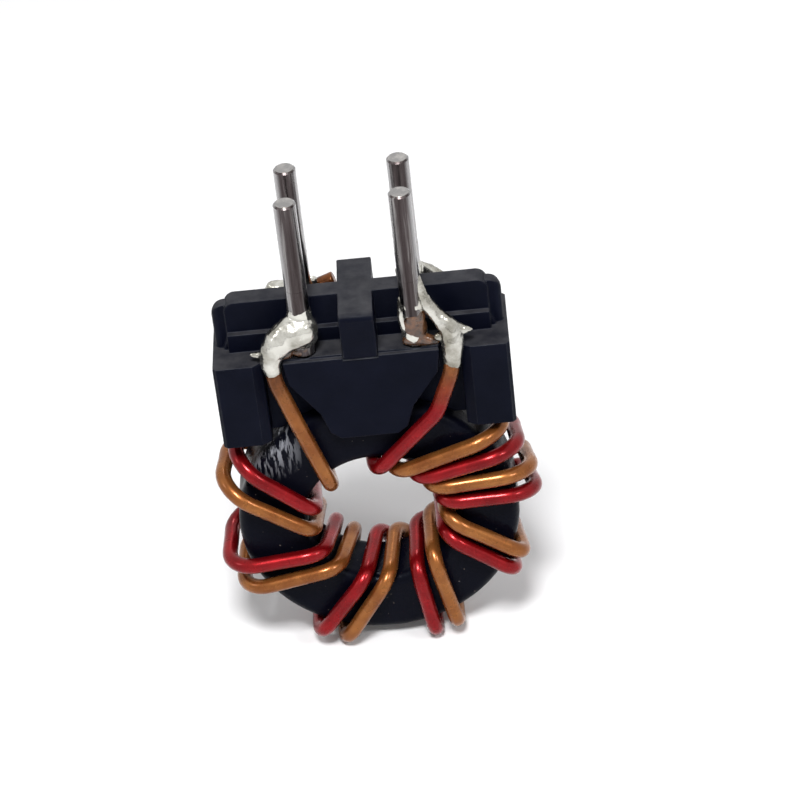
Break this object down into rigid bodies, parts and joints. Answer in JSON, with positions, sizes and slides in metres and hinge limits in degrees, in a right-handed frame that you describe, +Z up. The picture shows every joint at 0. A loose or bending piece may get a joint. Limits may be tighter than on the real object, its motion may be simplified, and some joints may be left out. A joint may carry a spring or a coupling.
{
  "type": "toroidal inductor",
  "caption": "Ring core standing on edge, wound with a red and a gold enamelled wire, hung from a dark moulded header with straight round pins and soldered wire ends on top.",
  "frame": {"origin": "on the floor, under the middle of the header and of the ring's thickness", "axes": "+Z up along the pins, from the ring's lowest loops to the pin tips; +X along the header; the ring's axis lies along Y and its front faces -Y"},
  "size_m": [0.0151, 0.0056, 0.0245],
  "materials": {
    "header_plastic": "charcoal moulded plastic with a soft sheen",
    "core_coating": "black epoxy coating over ferrite, satin",
    "red_enamel": "glossy red enamel on copper wire",
    "gold_enamel": "glossy clear gold enamel on copper wire",
    "pin_metal": "bright tinned wire",
    "solder_metal": "smooth solder"
  },
  "bodies": {
    "root": {"header": "header_plastic", "core": "core_coating", "winding_red": "red_enamel", "winding_gold": "gold_enamel", "pin_front_left": "pin_metal", "pin_front_right": "pin_metal", "pin_rear_left": "pin_metal", "pin_rear_right": "pin_metal", "solder_front_left": "solder_metal", "solder_front_right": "solder_metal", "solder_rear_left": "solder_metal", "solder_rear_right": "solder_metal"}
  },
  "joints": []
}
